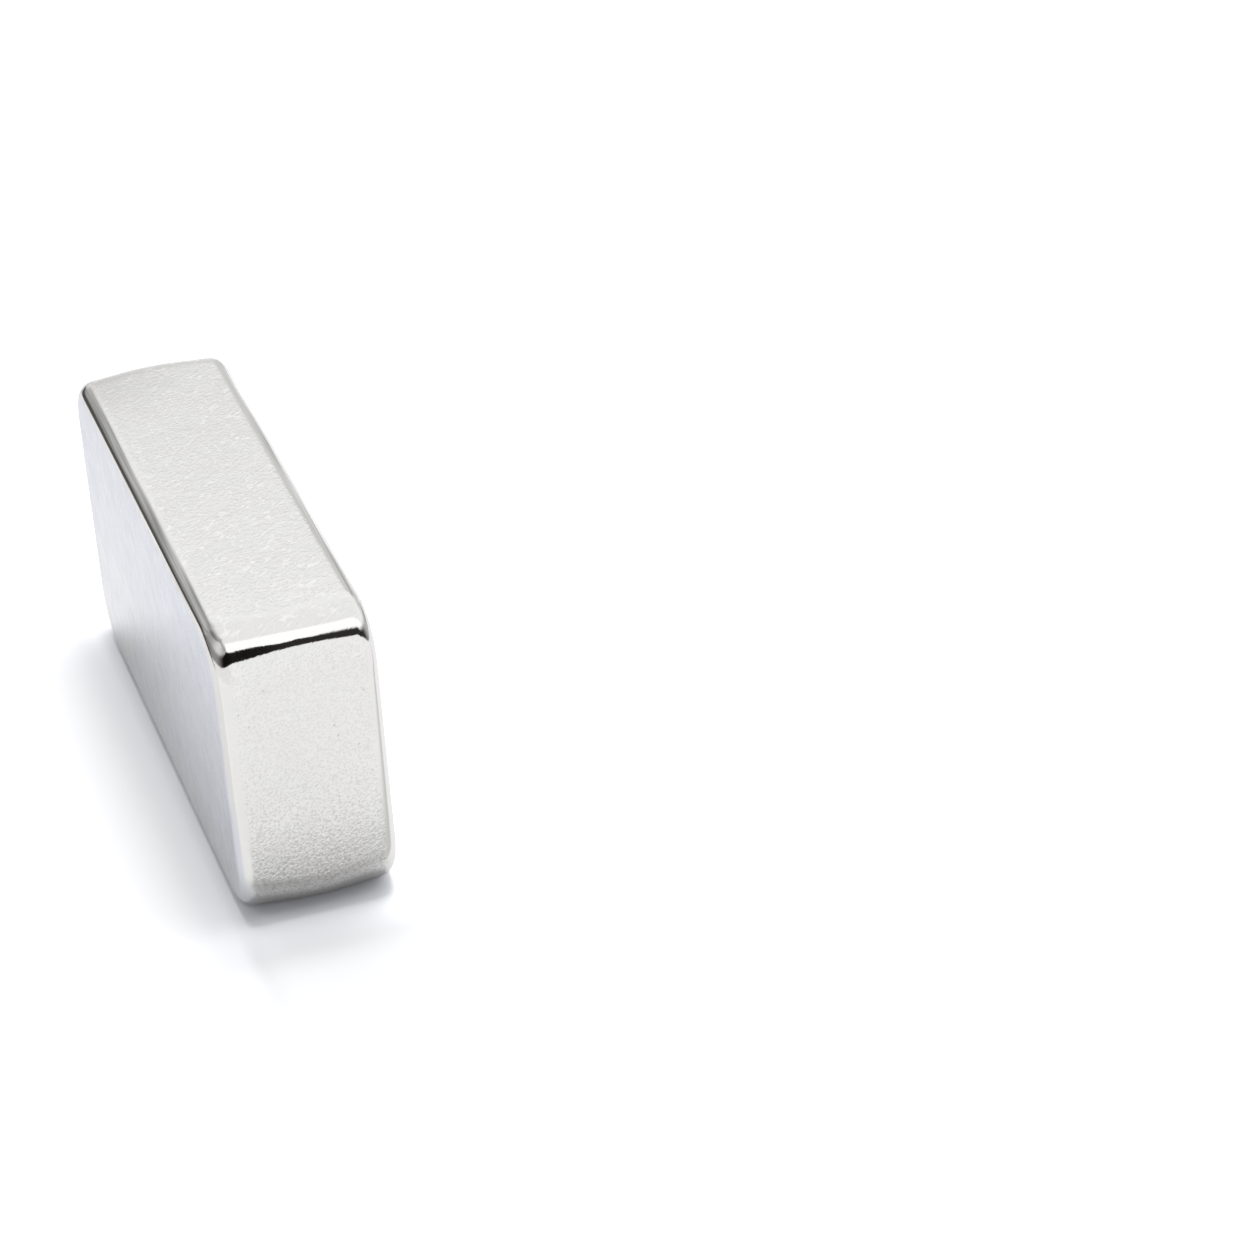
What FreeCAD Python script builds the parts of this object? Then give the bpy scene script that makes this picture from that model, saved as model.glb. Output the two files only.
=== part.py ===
import FreeCAD, Part
import os
import Sketcher

# Block magnet: one pressed, sintered, ground and nickel plated block.
# It is magnetised through its thickness, so its two large faces are the poles.
# Frame: X through the thickness, Y along the length, Z up the height of the
# block as it stands on a long narrow side. The origin is the middle of the
# underside. Sizes are in millimetres.

doc = FreeCAD.newDocument("block_magnet")

# Driving sizes
sizes = doc.addObject("Spreadsheet::Sheet", "Sizes")
DRIVING_SIZES = [
    # alias, value, what it measures
    ("length", 50.0, "along the long sides"),
    ("height", 25.0, "across a pole face, upright as the block stands"),
    ("thickness", 12.5, "from pole face to pole face, the magnetised way"),
    ("end_round", 3.7, "radius of the four short edges, half way through the thickness"),
    ("corner_round", 4.7, "radius of the same edges where they reach a pole face"),
    ("rim_round", 1.3, "radius of the rim of each pole face"),
]
for row, (alias, value, meaning) in enumerate(DRIVING_SIZES, start=1):
    sizes.set(f"A{row}", alias)
    sizes.set(f"B{row}", str(value))
    sizes.set(f"C{row}", meaning)
    sizes.setAlias(f"B{row}", alias)
doc.recompute()


def origin_plane(body, role):
    """The plane of the body's own origin that has this role, such as YZ_Plane."""
    for feature in body.Origin.OriginFeatures:
        if feature.Role == role:
            return feature
    raise RuntimeError(f"no origin plane {role}")


# The blank is sawn and ground to size. It is modelled as two equal halves that
# meet at X = 0, because the rounding of its short edges is narrowest there.
half_body = doc.addObject("PartDesign::Body", "HalfBody")
half_body.Label = "half_blank"

# Outline of a pole face before it is rounded, centred on Y and standing on Z = 0
outline = half_body.newObject("Sketcher::SketchObject", "PoleFaceOutline")
outline.AttachmentSupport = [(origin_plane(half_body, "YZ_Plane"), "")]
outline.MapMode = "FlatFace"
half_length = sizes.length / 2
corners = [
    FreeCAD.Vector(-half_length, 0, 0),
    FreeCAD.Vector(half_length, 0, 0),
    FreeCAD.Vector(half_length, sizes.height, 0),
    FreeCAD.Vector(-half_length, sizes.height, 0),
]
underside, back, top, front = [
    outline.addGeometry(Part.LineSegment(corners[i], corners[(i + 1) % 4])) for i in range(4)
]
# In a constraint, point 1 is a line's start and point 2 its end. The sketch's own
# X and Y axes are the curves -1 and -2.
outline.addConstraint([
    Sketcher.Constraint("Coincident", underside, 2, back, 1),
    Sketcher.Constraint("Coincident", back, 2, top, 1),
    Sketcher.Constraint("Coincident", top, 2, front, 1),
    Sketcher.Constraint("Coincident", front, 2, underside, 1),
    Sketcher.Constraint("Vertical", back),
    Sketcher.Constraint("Horizontal", top),
    Sketcher.Constraint("Vertical", front),
    Sketcher.Constraint("PointOnObject", underside, 1, -1),
    Sketcher.Constraint("Symmetric", underside, 1, underside, 2, -2),
])
MEASURES = [
    # name, sheet alias, constraint
    ("Length", "length", Sketcher.Constraint("DistanceX", underside, 1, underside, 2, sizes.length)),
    ("Height", "height", Sketcher.Constraint("DistanceY", back, 1, back, 2, sizes.height)),
]
for name, alias, constraint in MEASURES:
    outline.renameConstraint(outline.addConstraint(constraint), name)
    outline.setExpression(f"Constraints.{name}", f"Sizes.{alias}")

half = half_body.newObject("PartDesign::Pad", "HalfBlank")
half.Profile = outline
half.setExpression("Length", "Sizes.thickness / 2")

other_half = doc.addObject("Part::Mirroring", "OtherHalf")
other_half.Source = half_body
other_half.Normal = FreeCAD.Vector(1, 0, 0)

# The seam between the halves stays, so that each short edge is two edges end to end
blank = doc.addObject("Part::MultiFuse", "Blank")
blank.Shapes = [half_body, other_half]
blank.Refine = False
doc.recompute()

TOUCHING = 1e-6
half_thickness = sizes.thickness / 2


def runs_through_thickness(edge):
    """True for an edge along X, which crosses the block from pole to pole."""
    return abs(edge.tangentAt(edge.FirstParameter).x) > 1 - TOUCHING


# Tumbling with loose stones before plating wears the eight corners of the block
# faster than the edges between them. So the rounding of a short edge runs
# smoothly from corner_round at one pole face to end_round in its middle and back.
# A pair of radii is read from the -X end of its edge to the +X end.
narrowing = (sizes.corner_round, sizes.end_round)
widening = (sizes.end_round, sizes.corner_round)
ends = doc.addObject("Part::Fillet", "EndRounding")
ends.Base = blank
ends.Edges = [
    (number, *(narrowing if edge.CenterOfMass.x < 0 else widening))
    for number, edge in enumerate(blank.Shape.Edges, start=1)
    if runs_through_thickness(edge)
]
doc.recompute()

# The rim of each pole face is worn to one radius all the way round
rim = doc.addObject("Part::Fillet", "RimRounding")
rim.Base = ends
rim.Edges = [
    (number, sizes.rim_round, sizes.rim_round)
    for number, edge in enumerate(ends.Shape.Edges, start=1)
    if abs(abs(edge.CenterOfMass.x) - half_thickness) < TOUCHING
]

# Joins the halves of each flat side into one face
magnet = doc.addObject("Part::Refine", "Magnet")
magnet.Label = "magnet_block"
magnet.Source = rim
doc.recompute()

# Check every object before anything is written
for thing in doc.Objects:
    if "Invalid" in thing.State or "Error" in thing.State:
        raise RuntimeError(f"{thing.Name} did not build: {thing.State}")
if magnet.Shape.isNull() or not magnet.Shape.isValid() or len(magnet.Shape.Solids) != 1:
    raise RuntimeError(f"{magnet.Label} is not one valid solid")

os.makedirs("parts", exist_ok=True)
magnet.Shape.exportStep(os.path.join("parts", magnet.Label + ".step"))
print(magnet.Label, "volume", round(magnet.Shape.Volume, 1), "mm3")
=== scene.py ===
import math

import bpy
import numpy as np
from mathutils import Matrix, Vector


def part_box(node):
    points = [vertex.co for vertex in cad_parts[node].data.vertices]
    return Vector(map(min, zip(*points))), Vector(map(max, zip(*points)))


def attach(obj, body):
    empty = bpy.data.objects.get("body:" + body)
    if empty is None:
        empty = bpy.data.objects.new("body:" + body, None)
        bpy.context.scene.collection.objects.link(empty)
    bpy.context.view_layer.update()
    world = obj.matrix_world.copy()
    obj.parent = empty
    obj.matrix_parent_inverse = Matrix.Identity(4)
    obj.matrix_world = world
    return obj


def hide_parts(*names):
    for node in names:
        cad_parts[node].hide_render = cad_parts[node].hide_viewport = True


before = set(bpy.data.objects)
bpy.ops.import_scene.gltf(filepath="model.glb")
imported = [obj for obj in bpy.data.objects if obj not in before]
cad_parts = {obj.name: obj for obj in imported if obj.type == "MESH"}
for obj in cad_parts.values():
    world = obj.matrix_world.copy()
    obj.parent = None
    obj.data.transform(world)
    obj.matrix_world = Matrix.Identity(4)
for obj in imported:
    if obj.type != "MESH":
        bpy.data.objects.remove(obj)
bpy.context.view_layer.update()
scene = bpy.context.scene

# The block
# One piece of magnet alloy: pressed from powder, sintered, sawn and ground to size, and
# tumbled with loose stones until its edges are round and its corners rounder still. It
# stands on a long narrow side, and its two large faces are the poles.
lowest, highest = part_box("magnet_block")
HALF_THICKNESS = (highest[0] - lowest[0]) / 2
HALF_LENGTH = (highest[1] - lowest[1]) / 2
HALF_HEIGHT = (highest[2] - lowest[2]) / 2
END_ROUND = 0.0037
CORNER_ROUND = 0.0047
RIM_ROUND = 0.0013
QUARTER_TURN = math.pi / 2
MICRON = 1e-6
# How finely the mesh is divided, over half the thickness and over one corner or side
SIDE_STEPS = 24
RIM_STEPS = 20
RING_STEPS = 45
ARC_STEPS = 24
LONG_SIDE_POINTS = 110
SHORT_SIDE_POINTS = 52


def end_radius(x):
    """Radius of the four short edges at a distance x from the middle of the thickness.

    It grows from END_ROUND in the middle to CORNER_ROUND at a pole face, by the
    cubic 2.25 u^2 - 1.25 u^3 of the share u of the way, which starts level."""
    u = np.abs(x) / HALF_THICKNESS
    return END_ROUND + (CORNER_ROUND - END_ROUND) * (2.25 * u**2 - 1.25 * u**3)


def section_stations():
    """The sections from one pole face to the other, as x, inset, size and lean.

    Inset is how far the rim's quarter circle has drawn the section in, which is
    RIM_ROUND (1 - cos a) at x = HALF_THICKNESS - RIM_ROUND + RIM_ROUND sin a. Size
    falls from 1 to 0 over the flat of a pole face, as its rings close on the middle.
    Lean is that angle a, negative on the -X half and a quarter turn on the flat."""
    rim_angle = np.linspace(0, QUARTER_TURN, RIM_STEPS + 1)
    rim_x = HALF_THICKNESS - RIM_ROUND + RIM_ROUND * np.sin(rim_angle)
    rim_inset = RIM_ROUND * (1 - np.cos(rim_angle))
    side_x = np.linspace(0, HALF_THICKNESS - RIM_ROUND, SIDE_STEPS + 1)[:-1]
    ring_size = np.linspace(1, 0, RING_STEPS + 1)[1:-1]
    x = np.concatenate([side_x, rim_x, np.full(ring_size.size, HALF_THICKNESS)])
    inset = np.concatenate([0 * side_x, rim_inset, np.full(ring_size.size, RIM_ROUND)])
    size = np.concatenate([0 * side_x + 1, 0 * rim_x + 1, ring_size])
    lean = np.concatenate([0 * side_x, rim_angle, np.full(ring_size.size, QUARTER_TURN)])
    x = np.concatenate([-x[:0:-1], x])
    inset = np.concatenate([inset[:0:-1], inset])
    size = np.concatenate([size[:0:-1], size])
    lean = np.concatenate([-lean[:0:-1], lean])
    return x[:, None], inset[:, None], size[:, None], lean[:, None]


def block_grid():
    """Points and outward directions of the block, by section and place round it.

    A section is a rectangle with round corners: the centre of each corner lies
    end_radius(x) in from the sides, and the arc about it has that radius less the
    inset. The straight sides run from arc to arc. The outward direction is that of
    the arc, leant over towards the pole by the rim's angle."""
    x, inset, size, lean = section_stations()
    radius = end_radius(x)
    arc = np.linspace(0, QUARTER_TURN, ARC_STEPS + 1)[None, :]
    side_points = [LONG_SIDE_POINTS, SHORT_SIDE_POINTS] * 2
    arcs = []
    for corner, (side_y, side_z) in enumerate([(1, -1), (1, 1), (-1, 1), (-1, -1)]):
        turn = arc + (corner - 1) * QUARTER_TURN
        y = side_y * (HALF_LENGTH - radius) + (radius - inset) * np.cos(turn)
        z = side_z * (HALF_HEIGHT - radius) + (radius - inset) * np.sin(turn)
        facing = np.broadcast_to(turn, y.shape)
        arcs.append((y, z, facing))
    ring_y, ring_z, ring_facing = [], [], []
    for corner in range(4):
        before = arcs[corner - 1]
        after = arcs[corner]
        share = np.linspace(0, 1, side_points[corner] + 2)[None, 1:-1]
        ring_y += [before[0][:, -1:] * (1 - share) + after[0][:, :1] * share, after[0]]
        ring_z += [before[1][:, -1:] * (1 - share) + after[1][:, :1] * share, after[1]]
        straight_facing = after[2][:, :1] + 0 * share
        ring_facing += [straight_facing, after[2]]
    y = np.concatenate(ring_y, axis=1) * size
    z = np.concatenate(ring_z, axis=1) * size
    facing = np.concatenate(ring_facing, axis=1)
    points = np.stack([x + 0 * y, y, HALF_HEIGHT + z], axis=-1)
    outward = np.stack([
        np.sin(lean) + 0 * y,
        np.cos(lean) * np.cos(facing),
        np.cos(lean) * np.sin(facing),
    ], axis=-1)
    return points, outward


def waves(points, wavelength, count, seed):
    """A gentle unevenness between about -1 and 1.

    It is the sum of count waves sin(2 pi d.p / w + f) over twice its root mean square,
    with random directions d and phases f, and lengths w of 0.7 to 1.4 wavelengths."""
    random = np.random.default_rng(seed)
    directions = random.normal(size=(count, 3))
    directions /= np.linalg.norm(directions, axis=1, keepdims=True)
    lengths = wavelength * random.uniform(0.7, 1.4, count)
    phases = random.uniform(0, 2 * math.pi, count)
    height = np.zeros(points.shape[:-1])
    for direction, length, phase in zip(directions, lengths, phases):
        height += np.sin(points @ direction * (2 * math.pi / length) + phase)
    return height / math.sqrt(count / 2) / 2


points, outward = block_grid()
# Grinding and tumbling leave the faces a few thousandths of a millimetre uneven, always
# inward of the true outline. The side that the block stands on stays flat.
resting = np.clip(-outward[..., 2:3] * 4 - 2, 0, 1)
broad_waves = 3 * MICRON * waves(points, wavelength=0.009, count=24, seed=11)
narrow_waves = 1.2 * MICRON * waves(points, wavelength=0.0032, count=40, seed=12)
unevenness = broad_waves + narrow_waves
inward_only = unevenness - unevenness.max()
points = points + outward * inward_only[..., None] * (1 - resting)

sections, around = points.shape[:2]
row = np.arange(sections - 1)[:, None] * around
here = np.arange(around)[None, :]
after_here = (here + 1) % around
next_row = row + around
quads = np.stack([row + here, row + after_here, next_row + after_here, next_row + here], axis=-1)
# The innermost ring of each pole face closes on one point in the middle
first_pole = sections * around
last_pole = first_pole + 1
last_row = (sections - 1) * around
pole_points = np.array([points[0].mean(axis=0), points[-1].mean(axis=0)])
closing_first = np.stack([0 * here + first_pole, after_here, here], axis=-1)
closing_last = np.stack([0 * here + last_pole, last_row + here, last_row + after_here], axis=-1)
vertices = np.concatenate([points.reshape(-1, 3), pole_points])
faces = quads.reshape(-1, 4).tolist()
faces += closing_first.reshape(-1, 3).tolist()
faces += closing_last.reshape(-1, 3).tolist()
mesh = bpy.data.meshes.new("plated_block")
mesh.from_pydata(vertices.tolist(), [], faces)
mesh.shade_smooth()
# Which way each place faces, as shares of X, Y and Z, tells the plating where it lies
facing = np.append(np.abs(outward).reshape(-1, 3), [[1, 0, 0], [1, 0, 0]], axis=0)
facing_record = mesh.attributes.new("facing", "FLOAT_VECTOR", "POINT")
facing_record.data.foreach_set("vector", facing.reshape(-1))
block = bpy.data.objects.new("plated_block", mesh)
scene.collection.objects.link(block)

# The nickel plating
# A few hundredths of a millimetre of bright nickel, which follows the skin of the tumbled
# block under it: a fine grain like orange peel, wrinkles with a painted highlight and
# painted shade beside it, a few pits darkened with painted shade, and streaks along the
# rims. Painted shade darkens the back left of the top.
nickel = bpy.data.materials.new("bright_nickel")
nickel.use_nodes = True
tree = nickel.node_tree
shader = tree.nodes["Principled BSDF"]
shader.inputs["Metallic"].default_value = 1
place = tree.nodes.new("ShaderNodeTexCoord").outputs["Object"]


def maths(tree, operation, *terms):
    """The socket of a Math node that works on these terms, numbers or sockets."""
    node = tree.nodes.new("ShaderNodeMath")
    node.operation = operation
    for socket, term in zip(node.inputs, terms):
        if isinstance(term, (int, float)):
            socket.default_value = term
        else:
            tree.links.new(term, socket)
    return node.outputs["Value"]


def remap(tree, source, low, high, to_low, to_high):
    """The socket of a smooth step from to_low to to_high as source goes from low to high.

    With the share u = (source - low) / (high - low), held within 0 and 1, it is
    to_low + (to_high - to_low) (3 u^2 - 2 u^3)."""
    node = tree.nodes.new("ShaderNodeMapRange")
    node.interpolation_type = "SMOOTHSTEP"
    tree.links.new(source, node.inputs["Value"])
    ends = {"From Min": low, "From Max": high, "To Min": to_low, "To Max": to_high}
    for name, number in ends.items():
        if isinstance(number, (int, float)):
            node.inputs[name].default_value = number
        else:
            tree.links.new(number, node.inputs[name])
    return node.outputs["Result"]


def mixed(tree, share, first, second):
    """The socket of a colour that goes from first to second as share goes from 0 to 1."""
    node = tree.nodes.new("ShaderNodeMix")
    node.data_type = "RGBA"
    tree.links.new(share, node.inputs["Factor"])
    colours = [socket for socket in node.inputs if socket.type == "RGBA"]
    for socket, colour in zip(colours, (first, second)):
        if isinstance(colour, tuple):
            socket.default_value = (*colour, 1)
        else:
            tree.links.new(colour, socket)
    return [socket for socket in node.outputs if socket.type == "RGBA"][0]


def grain(tree, scale, detail, distortion=0.0, longer=(1, 1, 1), turned=(0, 0, 0)):
    """The height of a noise in the block's own place, with scale features to the metre.

    Longer says how many times longer than that its features are along each axis, after
    those axes are turned by these degrees."""
    node = tree.nodes.new("ShaderNodeTexNoise")
    if longer == (1, 1, 1):
        tree.links.new(place, node.inputs["Vector"])
    else:
        laid = tree.nodes.new("ShaderNodeMapping")
        laid.vector_type = "TEXTURE"
        laid.inputs["Scale"].default_value = longer
        laid.inputs["Rotation"].default_value = [math.radians(angle) for angle in turned]
        tree.links.new(place, laid.inputs["Vector"])
        tree.links.new(laid.outputs["Vector"], node.inputs["Vector"])
    node.inputs["Scale"].default_value = scale
    node.inputs["Detail"].default_value = detail
    node.inputs["Distortion"].default_value = distortion
    return node.outputs["Fac"]


def raised(tree, height, depth, under=None):
    """The normal of a skin raised by height times this depth, on top of the one under it."""
    node = tree.nodes.new("ShaderNodeBump")
    node.inputs["Strength"].default_value = 1
    if isinstance(depth, float):
        node.inputs["Distance"].default_value = depth
    else:
        tree.links.new(depth, node.inputs["Distance"])
    tree.links.new(height, node.inputs["Height"])
    if under is not None:
        tree.links.new(under, node.inputs["Normal"])
    return node.outputs["Normal"]


def swing(tree, height, amount, where):
    """The socket of a shade that swings either way with a height, by half this amount.

    It is amount (height - 1/2), and where is a share that says how much of it is kept."""
    return maths(tree, "MULTIPLY", maths(tree, "MULTIPLY_ADD", height, amount, -amount / 2), where)


facing_ways = tree.nodes.new("ShaderNodeAttribute")
facing_ways.attribute_name = "facing"
ways = tree.nodes.new("ShaderNodeSeparateXYZ")
tree.links.new(facing_ways.outputs["Vector"], ways.inputs["Vector"])
spot = tree.nodes.new("ShaderNodeSeparateXYZ")
tree.links.new(place, spot.inputs["Vector"])
# Where a place lies: well on a pole face, an end or the top, and near the foot of an end.
# An end and the top reach on to the short edges and end before the pole rims.
on_pole = remap(tree, ways.outputs["X"], 0.93, 1.0, 0, 1)
on_end = remap(tree, ways.outputs["Y"], 0.74, 0.95, 0, 1)
on_top = remap(tree, ways.outputs["Z"], 0.72, 0.95, 0, 1)
worn = remap(tree, ways.outputs["X"], 0.1, 0.4, 1, 0)
on_end = maths(tree, "MULTIPLY", on_end, worn)
on_top = maths(tree, "MULTIPLY", on_top, worn)
foot = maths(tree, "MULTIPLY", on_end, remap(tree, spot.outputs["Z"], 0.001, 0.017, 1, 0))
# The relief of the skin keeps to the flats
flat_end = maths(tree, "MULTIPLY", remap(tree, ways.outputs["Y"], 0.88, 0.99, 0, 1), worn)
flat_top = maths(tree, "MULTIPLY", remap(tree, ways.outputs["Z"], 0.88, 0.99, 0, 1), worn)
flat = maths(tree, "MAXIMUM", on_pole, maths(tree, "MAXIMUM", flat_end, flat_top))
between_top_and_pole = maths(tree, "MULTIPLY", ways.outputs["X"], ways.outputs["Z"])
on_rim = maths(
    tree, "MULTIPLY", remap(tree, between_top_and_pole, 0.2, 0.45, 0, 1),
    remap(tree, ways.outputs["Y"], 0.1, 0.4, 1, 0))

# The heights that the relief and the shade are made from
PEEL_STRETCH = (2.4, 1, 1)
PEEL_TURN = (0, -18, 35)
peel_height = grain(tree, 4600, 2.0, 0.4, PEEL_STRETCH, PEEL_TURN)
crease_height = grain(tree, 1900, 1.0, 1.6, (1.5, 1, 1), PEEL_TURN)
fine_height = grain(tree, 9000, 1.0)
speck_height = grain(tree, 7200, 1.0, 0.0, PEEL_STRETCH, PEEL_TURN)
speck_height = remap(tree, speck_height, 0.32, 0.58, 0.1, 0.6)
streak_height = grain(tree, 2600, 2.0, 0.6, (1, 1.5, 5), (-24, 0, 0))
drawn_height = grain(tree, 6500, 0.0, 0.0, (1, 60, 1))
cloud_height = grain(tree, 420, 3.0)

# A wrinkle is drawn in the colour as a painted highlight, a bright line, with painted
# shade on either side. It runs where a noise passes its middle, and only some stretches
# of it are kept, most of them on the top.
wrinkle_height = grain(tree, 1900, 0.5, 0.5, (3.2, 1, 1), (0, -14, 32))
from_wrinkle = maths(tree, "ABSOLUTE", maths(tree, "SUBTRACT", wrinkle_height, 0.5))
wrinkle_painted_highlight = remap(tree, from_wrinkle, 0, 0.08, 1.5, 0)
wrinkle_painted_shade = remap(tree, from_wrinkle, 0.07, 0.18, 0.35, 0)
wrinkle_highlight_and_shade = maths(tree, "SUBTRACT", wrinkle_painted_highlight, wrinkle_painted_shade)
wrinkle_share = maths(tree, "MULTIPLY_ADD", on_top, 0.8, 0.2)
kept_wrinkles = remap(tree, grain(tree, 1000, 1.0), 0.40, 0.60, 0, 1)
kept_wrinkles = maths(tree, "MULTIPLY", kept_wrinkles, wrinkle_share)
wrinkle_highlight_and_shade = maths(tree, "MULTIPLY", wrinkle_highlight_and_shade, kept_wrinkles)

# Pits, one in some of the cells, on the ends and fewer on the top, each a dent darkened with painted
# shade
CELLS_TO_THE_METRE = 1000
CELLS_WITHOUT_PIT = 0.62
cells = tree.nodes.new("ShaderNodeTexVoronoi")
cells.inputs["Scale"].default_value = CELLS_TO_THE_METRE
tree.links.new(place, cells.inputs["Vector"])
pit = remap(tree, cells.outputs["Distance"], 0.05, 0.14, 1, 0)
has_pit = maths(tree, "GREATER_THAN", cells.outputs["Color"], CELLS_WITHOUT_PIT)
pit = maths(tree, "MULTIPLY", pit, has_pit)
pit_share = maths(tree, "MULTIPLY_ADD", on_end, 0.7, maths(tree, "MULTIPLY", on_top, 0.3))
pit = maths(tree, "MULTIPLY", pit, pit_share)

# The relief, in depths of a few microns
peel_depth = maths(tree, "MULTIPLY_ADD", flat, 4 * MICRON, 1.5 * MICRON)
peel_depth = maths(tree, "MULTIPLY_ADD", flat_top, 5 * MICRON, peel_depth)
peel_depth = maths(tree, "MULTIPLY_ADD", foot, 45 * MICRON, peel_depth)
crease_depth = maths(tree, "MULTIPLY_ADD", flat_top, 14 * MICRON, 2 * MICRON)
fine_depth = maths(tree, "MULTIPLY_ADD", flat, 1.2 * MICRON, 0.6 * MICRON)
skin = raised(tree, peel_height, peel_depth)
skin = raised(tree, crease_height, crease_depth, skin)
skin = raised(tree, pit, -20 * MICRON, skin)
skin = raised(tree, fine_height, fine_depth, skin)
tree.links.new(skin, shader.inputs["Normal"])
# The edges are polished smoother than the flats
roughest = maths(tree, "MULTIPLY_ADD", flat, 0.045, 0.055)
roughness = remap(tree, grain(tree, 900, 3.0), 0.3, 0.7, 0.05, roughest)
tree.links.new(roughness, shader.inputs["Roughness"])

# Painted shade darkens the back left of the top
back_left_painted_shade = maths(
    tree, "MULTIPLY", remap(tree, spot.outputs["Y"], 0.011, 0.024, 0, 1),
    remap(tree, spot.outputs["X"], -0.0055, 0.0035, 1, 0))
back_left_painted_shade = maths(tree, "MULTIPLY", back_left_painted_shade, remap(tree, ways.outputs["Z"], 0.3, 0.8, 0, 1))

# The shade is about 1 and multiplies the colour of the nickel
speck_share = maths(tree, "MULTIPLY_ADD", on_end, 0.22, maths(tree, "MULTIPLY", on_pole, 0.26))
speck_share = maths(tree, "MULTIPLY_ADD", on_top, 0.08, speck_share)
cloud_share = maths(tree, "MULTIPLY_ADD", on_pole, 1.6, 0.4)
# The top starts a little lighter in colour, painted light that evens out the painted shade beside its
# wrinkles
shade = maths(tree, "MULTIPLY_ADD", on_top, 0.02, 1.0)
SWINGS = [
    # height, amount, where
    (speck_height, 1.0, speck_share),
    (speck_height, 0.38, foot),
    (streak_height, 0.50, on_pole),
    (cloud_height, 0.13, cloud_share),
    (drawn_height, 1.3, on_rim),
]
for height, amount, where in SWINGS:
    shade = maths(tree, "ADD", shade, swing(tree, height, amount, where))
# Wrinkles add a painted highlight with painted shade beside it; pits and the back left of the top get
# painted shade
for mark, amount in ((wrinkle_highlight_and_shade, 0.11), (pit, -0.27), (back_left_painted_shade, -0.19)):
    shade = maths(tree, "MULTIPLY_ADD", mark, amount, shade)
WARM_NICKEL = (0.797, 0.786, 0.774)
GREEN_NICKEL = (0.788, 0.789, 0.772)
tint_share = remap(tree, grain(tree, 330, 2.0), 0.35, 0.65, 0, 1)
tint = tree.nodes.new("ShaderNodeVectorMath")
tint.operation = "SCALE"
tree.links.new(mixed(tree, tint_share, WARM_NICKEL, GREEN_NICKEL), tint.inputs[0])
tree.links.new(shade, tint.inputs["Scale"])
tree.links.new(tint.outputs["Vector"], shader.inputs["Base Color"])

block.data.materials.append(nickel)
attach(block, "root")
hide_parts("magnet_block")
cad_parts["magnet_block"].data.materials.clear()
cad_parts["magnet_block"].data.materials.append(nickel)

# The floor
# A smooth white studio table, which is part of the stage and not of the block. The
# camera sees it white and it keeps the block's shadow. The metal mirrors it a little
# bluer at the left, and at the back left it holds a painted reflection of a dark drape.
REACH = 2.0
floor_corners = [(-REACH, -REACH, 0), (REACH, -REACH, 0), (REACH, REACH, 0), (-REACH, REACH, 0)]
floor_mesh = bpy.data.meshes.new("floor")
floor_mesh.from_pydata(floor_corners, [], [(0, 1, 2, 3)])
floor = bpy.data.objects.new("floor", floor_mesh)
scene.collection.objects.link(floor)
table = bpy.data.materials.new("table")
table.use_nodes = True
tree = table.node_tree
tree.nodes.clear()
spot = tree.nodes.new("ShaderNodeSeparateXYZ")
tree.links.new(tree.nodes.new("ShaderNodeTexCoord").outputs["Object"], spot.inputs["Vector"])
across = spot.outputs["X"]
along = spot.outputs["Y"]
# The floor's colours as the metal mirrors them
IN_FRONT = (1.02, 1.01, 0.995)
SHADOW_IN_FRONT = (0.68, 0.675, 0.665)
LIT_CORNER = (1.06, 1.05, 1.03)
FAR_LEFT = (0.938, 0.921, 0.892)
LEFT = (0.895, 0.912, 0.98)
BACK_LEFT = (0.83, 0.84, 0.885)
CLOSE_LEFT = (0.86, 0.92, 1.08)
CLOSE_BACK_LEFT = (0.71, 0.735, 0.81)
PAINTED_DRAPE = (0.09, 0.085, 0.08)
# The levels of the paint that the camera sees, where more makes the shadow on it paler
FAR_PAINT = 1.4
FRONT_PAINT = 1.09
FOOT_PAINT = 1.7
LEFT_PAINT = 1.19
LEFT_FOOT_PAINT = 0.75
# The level for light that goes on to the block or the floor unseen
UNSEEN_PAINT = 0.5


def kinds_of_ray(tree):
    """The sockets that are 1 for a ray from the camera, and for one that the metal mirrors.

    A mirrored ray counts only if it has met nothing matt on its way."""
    rays = tree.nodes.new("ShaderNodeLightPath").outputs
    met_nothing_matt = maths(tree, "LESS_THAN", rays["Diffuse Depth"], 0.5)
    return rays["Is Camera Ray"], maths(tree, "MULTIPLY", rays["Is Glossy Ray"], met_nothing_matt)


def between(tree, share, other_share):
    """The socket of the share of a place that lies in both of two bands of the floor."""
    return maths(tree, "MULTIPLY", share, other_share)


def grey(level):
    """A colour with this level of red, green and blue."""
    return (level, level, level)


# What the metal mirrors in front: the shadow close to the end, and light at its left
in_front_band = between(
    tree, remap(tree, along, -0.039, -0.0285, 0, 1), remap(tree, along, -0.0275, -0.0255, 1, 0))
close_in_front = between(tree, in_front_band, remap(tree, across, -0.0095, -0.006, 0, 1))
mirrored = mixed(tree, close_in_front, IN_FRONT, SHADOW_IN_FRONT)
at_corner = between(
    tree, remap(tree, along, -0.036, -0.029, 0, 1), remap(tree, across, -0.0115, -0.0072, 1, 0))
mirrored = mixed(tree, at_corner, mirrored, LIT_CORNER)

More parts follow.
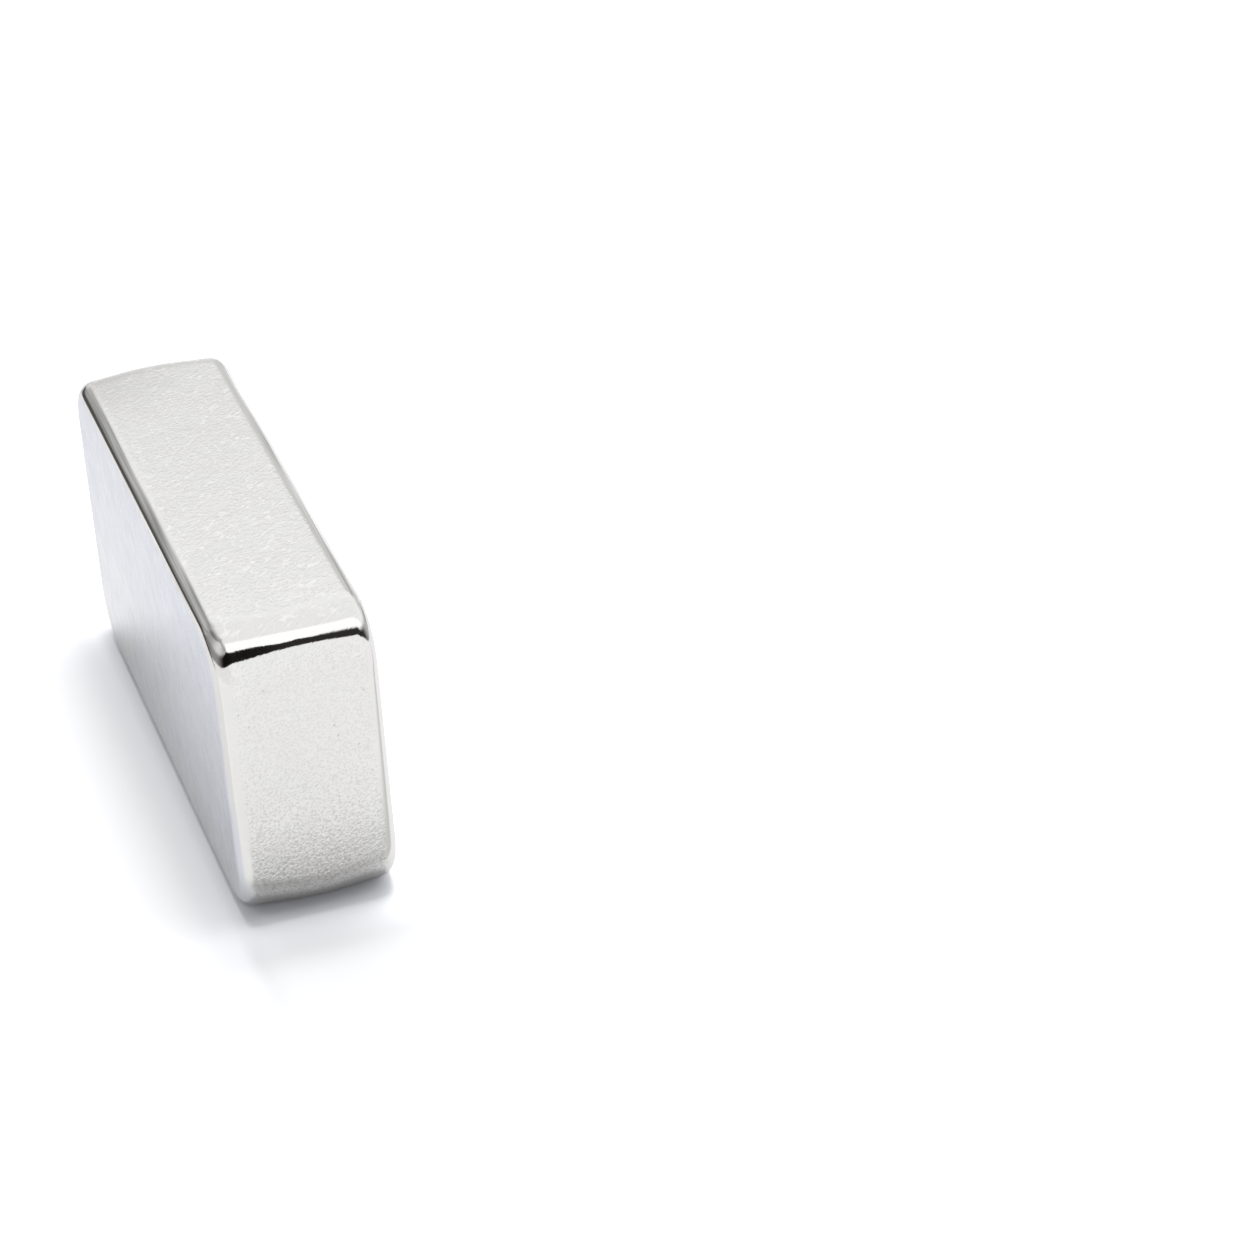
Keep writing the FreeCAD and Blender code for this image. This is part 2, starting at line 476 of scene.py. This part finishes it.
# At the left it is bluer close to the block, and darker towards the back
further_back = remap(tree, along, 0.01, 0.04, 0, 1)
left_floor = mixed(tree, further_back, LEFT, BACK_LEFT)
left_floor = mixed(tree, remap(tree, across, -0.026, -0.017, 0, 1), FAR_LEFT, left_floor)
back_half = remap(tree, along, 0.002, 0.02, 0, 1)
close_floor = mixed(tree, back_half, CLOSE_LEFT, CLOSE_BACK_LEFT)
close_beside = remap(tree, across, -0.0115, -0.0075, 0, 1)
left_floor = mixed(tree, close_beside, left_floor, close_floor)
beside = between(
    tree, remap(tree, along, -0.0275, -0.0235, 0, 1), remap(tree, across, -0.014, -0.004, 1, 0))
mirrored = mixed(tree, beside, mirrored, left_floor)

# A painted reflection of a dark drape, seen only in the metal, stands a little askew behind it
to_left = maths(tree, "MULTIPLY_ADD", along, -0.15, maths(tree, "MULTIPLY", across, -1))
painted_drape = between(tree, remap(tree, to_left, 0, 0.03, 0, 1), remap(tree, along, 0.085, 0.125, 0, 1))
mirrored = mixed(tree, painted_drape, mirrored, PAINTED_DRAPE)

# What the camera sees: white, with the shadow weaker in front and deepest close at the left
in_front = remap(tree, along, -0.050, -0.036, 0, 1)
seen = mixed(tree, in_front, grey(FAR_PAINT), grey(FRONT_PAINT))
seen = mixed(tree, remap(tree, along, -0.0298, -0.0242, 0, 1), seen, grey(FOOT_PAINT))
touching_left = remap(tree, across, -0.0076, -0.0060, 0, 1)
seen_at_left = mixed(tree, touching_left, grey(LEFT_PAINT), grey(LEFT_FOOT_PAINT))
at_left = between(
    tree, remap(tree, along, -0.045, -0.018, 0, 1), remap(tree, across, -0.009, -0.004, 1, 0))
seen = mixed(tree, at_left, seen, seen_at_left)

seen_by_camera, seen_in_metal = kinds_of_ray(tree)
paint = mixed(tree, seen_in_metal, grey(UNSEEN_PAINT), mirrored)
paint = mixed(tree, seen_by_camera, paint, seen)
matt = tree.nodes.new("ShaderNodeBsdfDiffuse")
tree.links.new(paint, matt.inputs["Color"])
output = tree.nodes.new("ShaderNodeOutputMaterial")
tree.links.new(matt.outputs["BSDF"], output.inputs["Surface"])
floor_mesh.materials.append(table)

# The light
# A light tent: a softbox overhead, white cards all round, and a dark gap between them,
# which runs round the tent lower and paler towards the back. The back left is dim, and
# a soft lamp behind and above throws the block's shadow to the front left.
world = bpy.data.worlds.new("tent")
scene.world = world
world.use_nodes = True
tree = world.node_tree
tree.nodes.clear()
direction = tree.nodes.new("ShaderNodeTexCoord").outputs["Generated"]
split = tree.nodes.new("ShaderNodeSeparateXYZ")
tree.links.new(direction, split.inputs["Vector"])
to_right, to_back, upward = split.outputs
to_front = maths(tree, "MULTIPLY", to_back, -1)
# The height of a direction in degrees, and which way it faces on the level: 1 straight to
# the front or the right and -1 straight away from there
JUST_OVER_ONE = 1.0001
elevation = maths(tree, "MULTIPLY", maths(tree, "ARCSINE", upward), 180 / math.pi)
upward_squared = maths(tree, "MULTIPLY", upward, upward)
level = maths(tree, "POWER", maths(tree, "SUBTRACT", JUST_OVER_ONE, upward_squared), 0.5)
facing_front = maths(tree, "DIVIDE", to_front, level)
facing_right = maths(tree, "DIVIDE", to_right, level)
in_front = maths(tree, "MAXIMUM", facing_front, 0)
behind = maths(tree, "MINIMUM", facing_front, 0)
far_front = maths(tree, "POWER", in_front, 4.0)

# The dark gap: its top and its foot in degrees, how soft they are, and its own light. It
# rises from its place at the sides towards the front.
GAP_TOP_AT_SIDES = 31
GAP_FOOT_AT_SIDES = 12
GAP_TOP_RISE = 26
GAP_FOOT_RISE = 18
lowered = maths(
    tree, "ADD", remap(tree, facing_right, -0.13, 0.16, 0, 8),
    remap(tree, facing_right, 0.2, 0.35, 0, -3))
lowered = maths(tree, "MULTIPLY", lowered, remap(tree, facing_right, 0.45, 0.65, 1, 0.4))
lowered = maths(tree, "ADD", lowered, remap(tree, facing_right, 0.62, 0.8, 0, 5))
raised_foot = maths(
    tree, "ADD", remap(tree, facing_right, -0.10, 0.10, 0, 3.4),
    remap(tree, facing_right, 0.15, 0.5, 0, 3.2))
raised_foot = maths(tree, "MULTIPLY", raised_foot, remap(tree, facing_front, 0.1, 0.75, -1.1, 1))
raised_foot = maths(tree, "ADD", raised_foot, remap(tree, facing_right, 0.4, 0.65, 0, -5))
gap_top = maths(tree, "MULTIPLY_ADD", far_front, 6, GAP_TOP_AT_SIDES)
gap_top = maths(tree, "MULTIPLY_ADD", facing_front, GAP_TOP_RISE, gap_top)
gap_top = maths(tree, "SUBTRACT", gap_top, lowered)
gap_foot = maths(tree, "MULTIPLY_ADD", far_front, 7.5, GAP_FOOT_AT_SIDES)
gap_foot = maths(tree, "MULTIPLY_ADD", facing_front, GAP_FOOT_RISE, gap_foot)
gap_foot = maths(tree, "MULTIPLY_ADD", behind, 12, gap_foot)
gap_foot = maths(tree, "ADD", gap_foot, raised_foot)
over_gap = maths(tree, "SUBTRACT", elevation, gap_top)
over_foot = maths(tree, "SUBTRACT", elevation, gap_foot)
top_blur = remap(tree, facing_front, 0.55, 0.97, 10, 1.3)
foot_blur = remap(tree, facing_front, 0.4, 0.97, 4, 1.2)
above_gap = remap(tree, over_gap, maths(tree, "MULTIPLY", top_blur, -1), top_blur, 0, 1)
above_foot = remap(tree, over_foot, maths(tree, "MULTIPLY", foot_blur, -1), foot_blur, 0, 1)
in_gap = maths(tree, "MULTIPLY", above_foot, maths(tree, "SUBTRACT", 1, above_gap))
in_gap = maths(tree, "MULTIPLY", in_gap, remap(tree, facing_front, -0.75, -0.4, 0, 1))
gap_left = maths(
    tree, "MULTIPLY", remap(tree, facing_front, 0, 0.75, 0.31, 0.008),
    remap(tree, facing_front, -0.8, -0.25, 0.3, 1))
gap_right = remap(tree, facing_front, -0.15, 0.5, 0.55, 0.030)
gap_light = remap(tree, facing_right, -0.1, 0.2, gap_left, gap_right)

# The softbox is over the front and the right. The left is dimmer, and dimmest at a seam
# that rises towards the front.
SEAM_AT_SIDES = 68
SEAM_RISE = 44
softbox = maths(tree, "MULTIPLY", remap(tree, to_front, 0.14, 0.22, 0, 0.27), above_gap)
softbox = maths(tree, "MULTIPLY", softbox, remap(tree, facing_right, -0.2, -0.1, 0, 1))
right_ceiling = remap(tree, elevation, 34, 60, 1.045, 1.0)
ceiling = remap(tree, facing_right, -0.4, 0.1, 0.95, right_ceiling)
tent = maths(tree, "ADD", softbox, ceiling)
seam = maths(tree, "MULTIPLY_ADD", maths(tree, "MINIMUM", facing_front, 0.13), SEAM_RISE, SEAM_AT_SIDES)
over_seam = maths(tree, "SUBTRACT", elevation, seam)
over_seam = maths(tree, "MULTIPLY_ADD", far_front, 8, over_seam)
back_left_light = remap(tree, facing_front, -0.8, -0.6, 0.50, 0.42)
left_light = maths(
    tree, "MULTIPLY", remap(tree, facing_front, -0.55, 0.08, back_left_light, 0.82),
    remap(tree, facing_front, 0.25, 0.85, 1, 0.64))
seam_light = maths(
    tree, "ADD", remap(tree, facing_front, -0.9, -0.6, 0.9, 0.52),
    remap(tree, facing_front, 0.3, 0.8, 0, 0.3))
left_light = maths(tree, "MULTIPLY", left_light, remap(tree, over_seam, -8, -1, 1, seam_light))
seam_reach = remap(tree, facing_front, -0.1, 0.3, 44, 14)
left_light = remap(tree, over_seam, -1, seam_reach, left_light, 1)
left_edge = maths(
    tree, "MULTIPLY", remap(tree, elevation, 22, 38, 0, -0.12),
    remap(tree, facing_front, -0.3, 0.3, 1, 0))
left_edge = maths(tree, "ADD", left_edge, remap(tree, facing_front, -0.7, 0.7, -0.215, -0.17))
edge_blur = remap(tree, facing_front, -0.7, 0.7, 0.20, 0.09)
left_edge_start = maths(tree, "SUBTRACT", left_edge, edge_blur)
left_edge_end = maths(tree, "ADD", left_edge, edge_blur)
at_left = remap(tree, facing_right, left_edge_start, left_edge_end, 1, 0)
at_left = maths(tree, "MULTIPLY", at_left, above_foot)
tent = maths(tree, "MULTIPLY", tent, remap(tree, at_left, 0, 1, 1, left_light))
light = remap(tree, in_gap, 0, 1, tent, gap_light)

# The wall at the back right and the lowest part of the back left are dimmer
back_wall = maths(
    tree, "MULTIPLY", remap(tree, elevation, 25, 29.5, 1, 0), remap(tree, to_back, 0.2, 0.6, 0, 1))
back_wall = maths(tree, "MULTIPLY", back_wall, remap(tree, facing_right, -0.4, 0.6, 0, 0.36))
light = maths(tree, "MULTIPLY", light, maths(tree, "SUBTRACT", 1, back_wall))
low = maths(
    tree, "MULTIPLY", remap(tree, elevation, -8, 12, 1, 0), remap(tree, to_back, 0.2, 0.7, 0, 1))
low = maths(tree, "MULTIPLY", low, remap(tree, facing_right, -0.3, 0.15, 0.87, 0.0))
light = maths(tree, "MULTIPLY", light, maths(tree, "SUBTRACT", 1, low))

# The metal mirrors the tent as it is, the floor gets more of its light from the back, and
# the camera sees it white
WARM_DARK = (1.0, 0.90, 0.85)
COOL_FILL = (0.96, 0.98, 1.04)
WHITE = (1.0, 1.0, 1.0)
seen_by_camera, seen_in_metal = kinds_of_ray(tree)
on_floor = maths(tree, "MULTIPLY", light, maths(tree, "MULTIPLY_ADD", to_back, 0.45, 0.78))
strength = remap(tree, seen_in_metal, 0, 1, on_floor, light)
strength = remap(tree, seen_by_camera, 0, 1, strength, 1.0)
not_on_floor = maths(tree, "MAXIMUM", seen_in_metal, seen_by_camera)
tent_colour = mixed(tree, remap(tree, light, 0.03, 0.3, 0, 1), WARM_DARK, WHITE)
tent_colour = mixed(tree, seen_by_camera, tent_colour, WHITE)
glow = tree.nodes.new("ShaderNodeBackground")
tree.links.new(mixed(tree, not_on_floor, COOL_FILL, tent_colour), glow.inputs["Color"])
tree.links.new(strength, glow.inputs["Strength"])
output = tree.nodes.new("ShaderNodeOutputWorld")
tree.links.new(glow.outputs["Background"], output.inputs["Surface"])

# A lamp of strength pi straight above would light the floor fully by itself
LAMP_SHARE = 0.46
LAMP_SPREAD = 26
lamp_light = bpy.data.lights.new("soft_lamp", "SUN")
lamp_light.energy = LAMP_SHARE * math.pi
lamp_light.angle = math.radians(LAMP_SPREAD)
lamp_light.color = (1.0, 0.99, 0.97)
lamp = bpy.data.objects.new("soft_lamp", lamp_light)
lamp_x, lamp_y, lamp_z = 0.10, 0.12, 1.0
lamp_tilt = math.atan2(math.hypot(lamp_x, lamp_y), lamp_z)
lamp_turn = math.atan2(lamp_y, lamp_x) + QUARTER_TURN
lamp.rotation_euler = (lamp_tilt, 0, lamp_turn)
lamp.visible_glossy = False
scene.collection.objects.link(lamp)

# The camera
# It looks down on the block from the front left with a long lens, as in the photograph,
# and leans a little to one side.
CAMERA_PLACE = (-0.053793, -0.289851, 0.183299)
CAMERA_ANGLES = (59.2648, 3.2855, -18.6238)
FOCAL_LENGTH = 121.64
lens = bpy.data.cameras.new("camera")
lens.sensor_width = 36
lens.lens = FOCAL_LENGTH
lens.clip_start = 0.01
camera = bpy.data.objects.new("camera", lens)
camera.location = CAMERA_PLACE
camera.rotation_euler = [math.radians(angle) for angle in CAMERA_ANGLES]
scene.collection.objects.link(camera)
scene.camera = camera
scene.view_settings.view_transform = "Standard"
